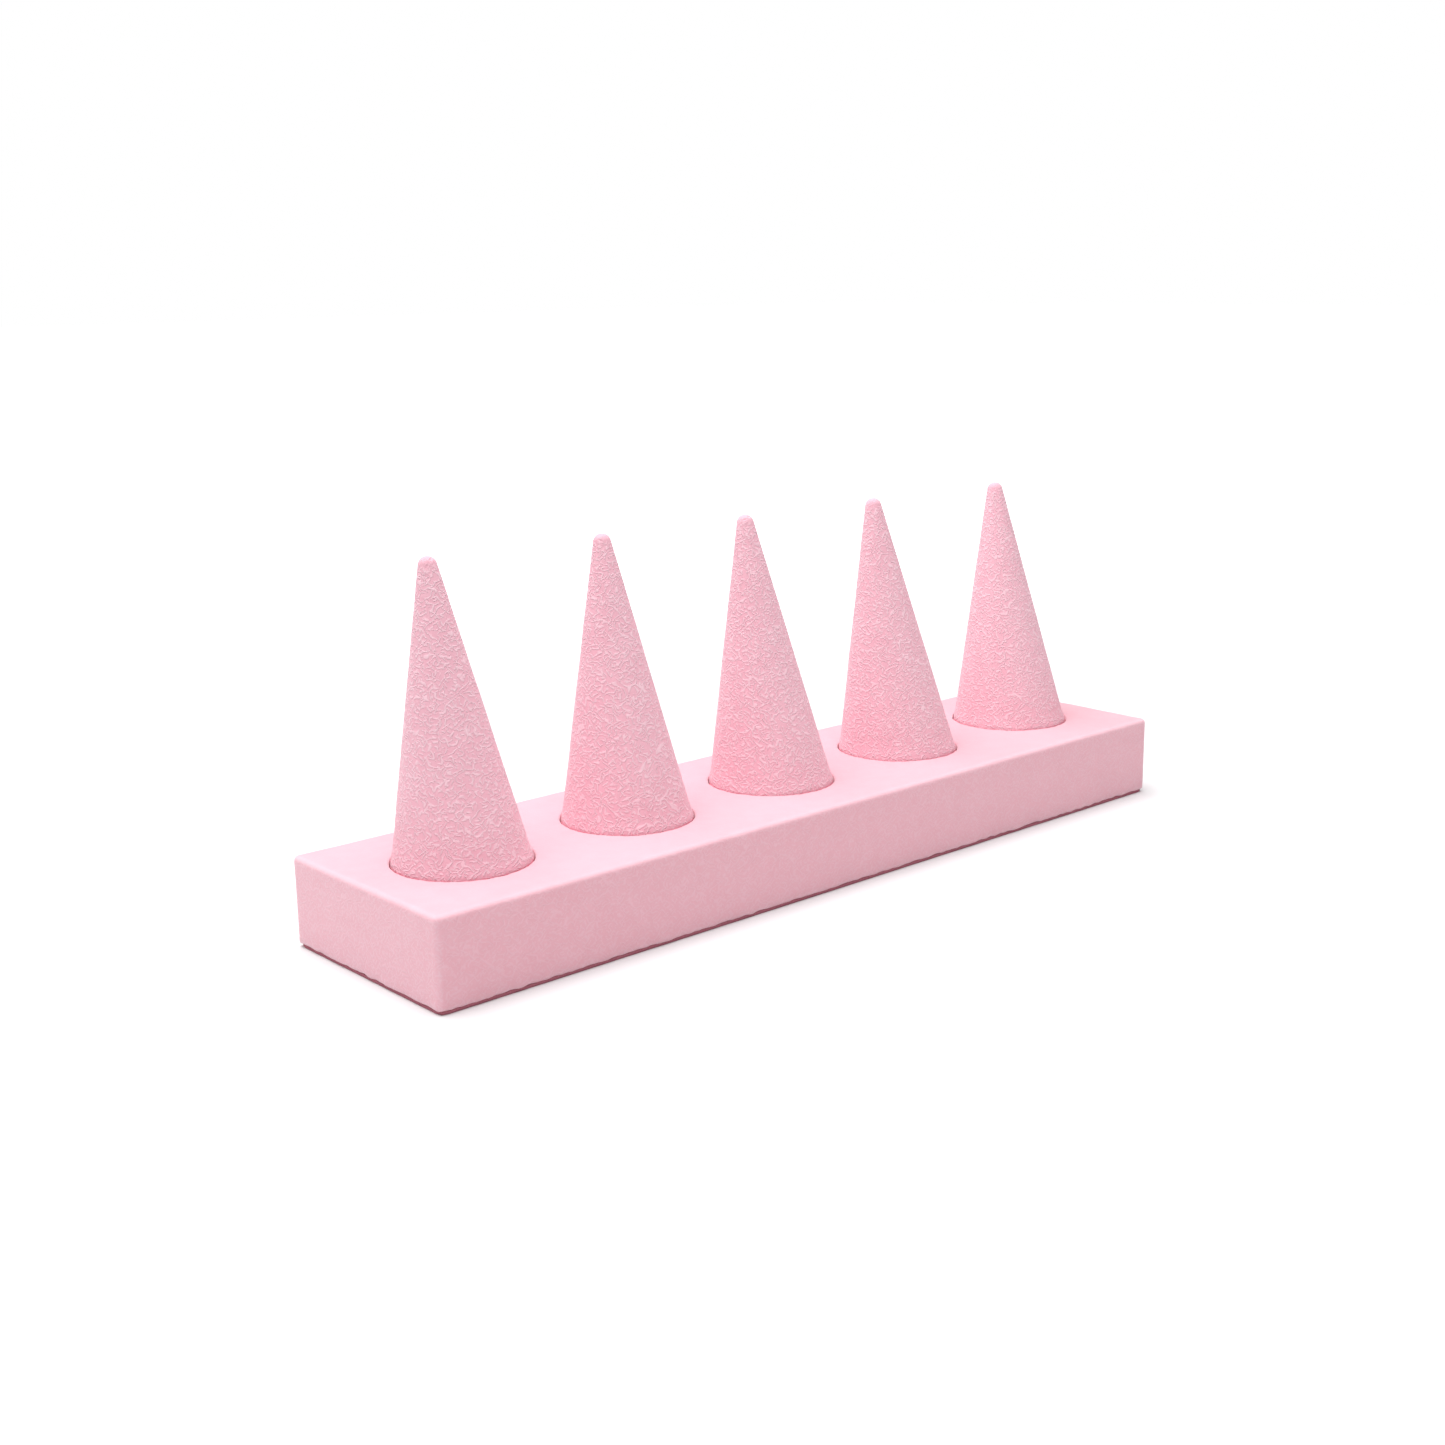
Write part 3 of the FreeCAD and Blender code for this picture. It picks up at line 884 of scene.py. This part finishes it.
def hang_softbox(context):
    """Hang one big square softbox over the stand, facing it."""
    lamp = bpy.data.lights.new("Softbox", "AREA")
    lamp.shape = "SQUARE"
    lamp.size = SOFTBOX_SIZE
    lamp.energy = SOFTBOX_POWER
    holder = bpy.data.objects.new("Softbox", lamp)
    holder.location = SOFTBOX_PLACE
    holder.rotation_euler = Vector(SOFTBOX_PLACE).to_track_quat("Z", "Y").to_euler()
    context.scene.collection.objects.link(holder)


def place_camera(context):
    """Stand the camera where the photographer's was."""
    camera = bpy.data.cameras.new("Camera")
    camera.sensor_fit = "HORIZONTAL"
    camera.sensor_width = SENSOR
    camera.lens = LENS
    camera.clip_start = 0.01
    camera.clip_end = 50
    forwards = Vector((-math.sin(CAMERA_TURN) * math.cos(CAMERA_PITCH),
                       math.cos(CAMERA_TURN) * math.cos(CAMERA_PITCH), -math.sin(CAMERA_PITCH)))
    level = forwards.cross(Vector((0, 0, 1))).normalized()
    upright = level.cross(forwards)
    right = level * math.cos(CAMERA_ROLL) + upright * math.sin(CAMERA_ROLL)
    up = upright * math.cos(CAMERA_ROLL) - level * math.sin(CAMERA_ROLL)
    turn = Matrix((right, up, -forwards)).transposed().to_4x4()
    holder = bpy.data.objects.new("Camera", camera)
    holder.matrix_world = Matrix.Translation(CAMERA_PLACE) @ turn
    context.scene.collection.objects.link(holder)
    context.scene.camera = holder


class RINGSTAND_OT_stage(bpy.types.Operator):
    """Set up the floor, the light and the camera"""
    bl_idname = "ring_stand.stage"
    bl_label = "Stage"

    def execute(self, context):
        make_floor(context, context.scene.ring_stand_colours.floor)
        light_world(context.scene)
        hang_softbox(context)
        place_camera(context)
        context.scene.view_settings.view_transform = "Standard"
        return {"FINISHED"}


class RINGSTAND_PT_panel(bpy.types.Panel):
    """Sizes, colours and steps of the ring display stand"""
    bl_label = "Ring display stand"
    bl_idname = "RINGSTAND_PT_panel"
    bl_space_type = "VIEW_3D"
    bl_region_type = "UI"
    bl_category = "Ring Stand"

    def draw(self, context):
        for group in (context.scene.ring_stand_sizes, context.scene.ring_stand_colours):
            for name in group.__annotations__:
                self.layout.prop(group, name)
        for step in STEPS:
            self.layout.operator(step.bl_idname)


STEPS = (RINGSTAND_OT_stage, RINGSTAND_OT_cores, RINGSTAND_OT_base_suede,
         RINGSTAND_OT_cone_suede, RINGSTAND_OT_base_felt)
CLASSES = (StandSizes, StandColours, *STEPS, RINGSTAND_PT_panel)


def register():
    for item in CLASSES:
        bpy.utils.register_class(item)
    bpy.types.Scene.ring_stand_sizes = PointerProperty(type=StandSizes)
    bpy.types.Scene.ring_stand_colours = PointerProperty(type=StandColours)


def unregister():
    del bpy.types.Scene.ring_stand_colours
    del bpy.types.Scene.ring_stand_sizes
    for item in reversed(CLASSES):
        bpy.utils.unregister_class(item)


def main():
    """Build every piece in order."""
    register()
    bpy.ops.ring_stand.stage()
    bpy.ops.ring_stand.cores()
    bpy.ops.ring_stand.base_suede()
    bpy.ops.ring_stand.cone_suede()
    bpy.ops.ring_stand.base_felt()


if __name__ == "__main__":
    main()
